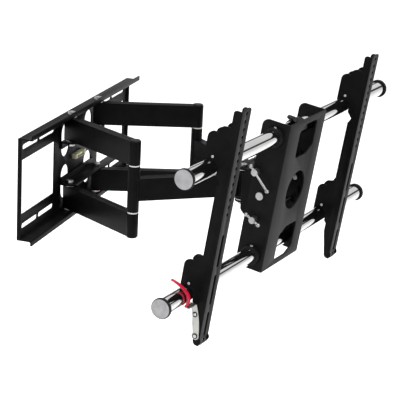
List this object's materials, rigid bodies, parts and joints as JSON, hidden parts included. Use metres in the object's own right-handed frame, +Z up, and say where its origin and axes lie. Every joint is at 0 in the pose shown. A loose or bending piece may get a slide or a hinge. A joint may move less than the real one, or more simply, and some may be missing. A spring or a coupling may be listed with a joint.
{
  "type": "full motion tv wall mount",
  "caption": "Pressed steel wall plate with folding double arms, a tilting head box on round chrome tubes, and sliding slotted rails with hooks and lock levers for a flat screen.",
  "frame": {"origin": "middle of the wall plate's back face", "axes": "+X to the right for a person facing the wall, +Y into the wall, +Z up"},
  "size_m": [0.9044, 0.5926, 0.4628],
  "materials": {
    "plate_black": "satin black powder coat on pressed steel",
    "arm_black": "satin black powder coat on rectangular tube",
    "yoke_black": "satin black powder coat",
    "head_black": "fine-textured black powder coat, a little lighter",
    "rail_black": "satin black powder coat",
    "tube_chrome": "bright chrome plating",
    "cap_grey": "grey moulded plastic with a ribbed rim",
    "black_plastic": "black moulded plastic",
    "white_nylon": "white nylon",
    "level_body": "pale yellow-green moulded body",
    "level_glass": "yellow-green liquid",
    "handle_steel": "dull zinc plating",
    "lever_grey": "grey zinc finish",
    "release_red": "red moulded plastic",
    "zinc_steel": "bright zinc plating"
  },
  "bodies": {
    "wall_bracket": {"wall_plate": "plate_black", "upper_pivot_shelf": "plate_black", "lower_pivot_shelf": "plate_black", "shoulder_bolts": "zinc_steel", "shoulder_nuts": "zinc_steel", "shoulder_washers": "white_nylon", "level_housing": "level_body", "level_vial": "level_glass"},
    "left_arm": {"left_upper_arm_tube": "arm_black", "left_lower_arm_tube": "arm_black", "left_elbow_bolt": "zinc_steel", "left_elbow_washers": "white_nylon", "left_elbow_caps": "black_plastic"},
    "right_arm": {"right_upper_arm_tube": "arm_black", "right_lower_arm_tube": "arm_black", "right_elbow_bolt": "zinc_steel", "right_elbow_washers": "white_nylon", "right_elbow_caps": "black_plastic"},
    "left_forearm": {"left_forearm_tube": "arm_black", "left_elbow_sleeve": "arm_black", "left_elbow_bushes": "white_nylon", "left_knuckle": "arm_black", "left_knuckle_bush": "white_nylon"},
    "right_forearm": {"right_forearm_tube": "arm_black", "right_elbow_sleeve": "arm_black", "right_elbow_bushes": "white_nylon", "right_knuckle": "arm_black"},
    "yoke": {"yoke_bracket": "yoke_black", "yoke_bolts": "zinc_steel", "yoke_washers": "white_nylon"},
    "head": {"head_box": "head_black", "upper_round_tube": "tube_chrome", "lower_round_tube": "tube_chrome", "round_tube_caps": "cap_grey", "tube_collars": "black_plastic", "collar_screws": "zinc_steel", "cable_clip": "black_plastic", "tilt_bolts": "zinc_steel", "tilt_clamp_bolts": "zinc_steel"},
    "upper_clamp": {"upper_clamp_hub": "handle_steel", "upper_clamp_rod": "handle_steel"},
    "lower_clamp": {"lower_clamp_hub": "handle_steel", "lower_clamp_rod": "handle_steel"},
    "left_rail_set": {"left_rail": "rail_black", "left_hook_liners": "black_plastic", "left_lever_rivets": "zinc_steel"},
    "left_lock": {"left_lock_lever": "lever_grey", "left_release_hook": "release_red"},
    "right_rail_set": {"right_rail": "rail_black", "right_hook_liners": "black_plastic", "right_lever_rivets": "zinc_steel"},
    "right_lock": {"right_lock_lever": "lever_grey", "right_release_hook": "release_red"}
  },
  "joints": [
    {"name": "left_shoulder", "type": "hinge", "parent": "wall_bracket", "child": "left_arm", "pos_m": [-0.074, -0.02, 0], "axis": [0, 0, 1], "range_deg": [-44, 14]},
    {"name": "left_elbow", "type": "hinge", "parent": "left_arm", "child": "left_forearm", "pos_m": [-0.19037, -0.20197, 0], "axis": [0, 0, 1], "range_deg": [-21.5, 65.4]},
    {"name": "yoke_swivel", "type": "hinge", "parent": "left_forearm", "child": "yoke", "pos_m": [-0.05421, -0.38734, 0], "axis": [0, 0, 1], "range_deg": [-26.1, 9]},
    {"name": "right_shoulder", "type": "hinge", "parent": "wall_bracket", "child": "right_arm", "pos_m": [0.074, -0.02, 0], "axis": [0, 0, 1], "range_deg": [-5.9, 16.4]},
    {"name": "right_elbow", "type": "hinge", "parent": "right_arm", "child": "right_forearm", "pos_m": [0.15385, -0.2207, 0], "axis": [0, 0, 1], "range_deg": [-61.7, 20.3]},
    {"name": "head_tilt", "type": "hinge", "parent": "yoke", "child": "head", "pos_m": [-0.03508, -0.45909, 0], "axis": [0.9829, -0.184, 0], "range_deg": [-13, 7]},
    {"name": "upper_clamp_turn", "type": "hinge", "parent": "head", "child": "upper_clamp", "pos_m": [-0.11835, -0.4338, 0.04908], "axis": [-0.9829, 0.184, 0], "range_deg": [-120, 30]},
    {"name": "lower_clamp_turn", "type": "hinge", "parent": "head", "child": "lower_clamp", "pos_m": [-0.11851, -0.43464, -0.04924], "axis": [-0.9829, 0.184, 0], "range_deg": [-60, 60]},
    {"name": "left_rail_slide", "type": "slide", "parent": "head", "child": "left_rail_set", "axis": [0.9829, -0.184, 0], "range_m": [-0.054, 0.2]},
    {"name": "right_rail_slide", "type": "slide", "parent": "head", "child": "right_rail_set", "axis": [0.9829, -0.184, 0], "range_m": [-0.12, 0.134]},
    {"name": "left_lock_release", "type": "hinge", "parent": "left_rail_set", "child": "left_lock", "pos_m": [-0.39161, -0.40549, -0.20277], "axis": [0.9829, -0.184, 0], "range_deg": [0, 14], "stiffness_Nm_per_rad": 0.6, "springref_deg": -8.59},
    {"name": "right_lock_release", "type": "hinge", "parent": "right_rail_set", "child": "right_lock", "pos_m": [0.23806, -0.52333, -0.20277], "axis": [0.9829, -0.184, 0], "range_deg": [0, 14], "stiffness_Nm_per_rad": 0.6, "springref_deg": -8.59}
  ],
  "couplings": [
    {"joint": "left_elbow", "follows": "left_shoulder", "ratio": -1.464},
    {"joint": "yoke_swivel", "follows": "left_shoulder", "ratio": 0.571},
    {"joint": "right_shoulder", "follows": "left_shoulder", "ratio": -0.35},
    {"joint": "right_elbow", "follows": "left_shoulder", "ratio": 1.379}
  ]
}
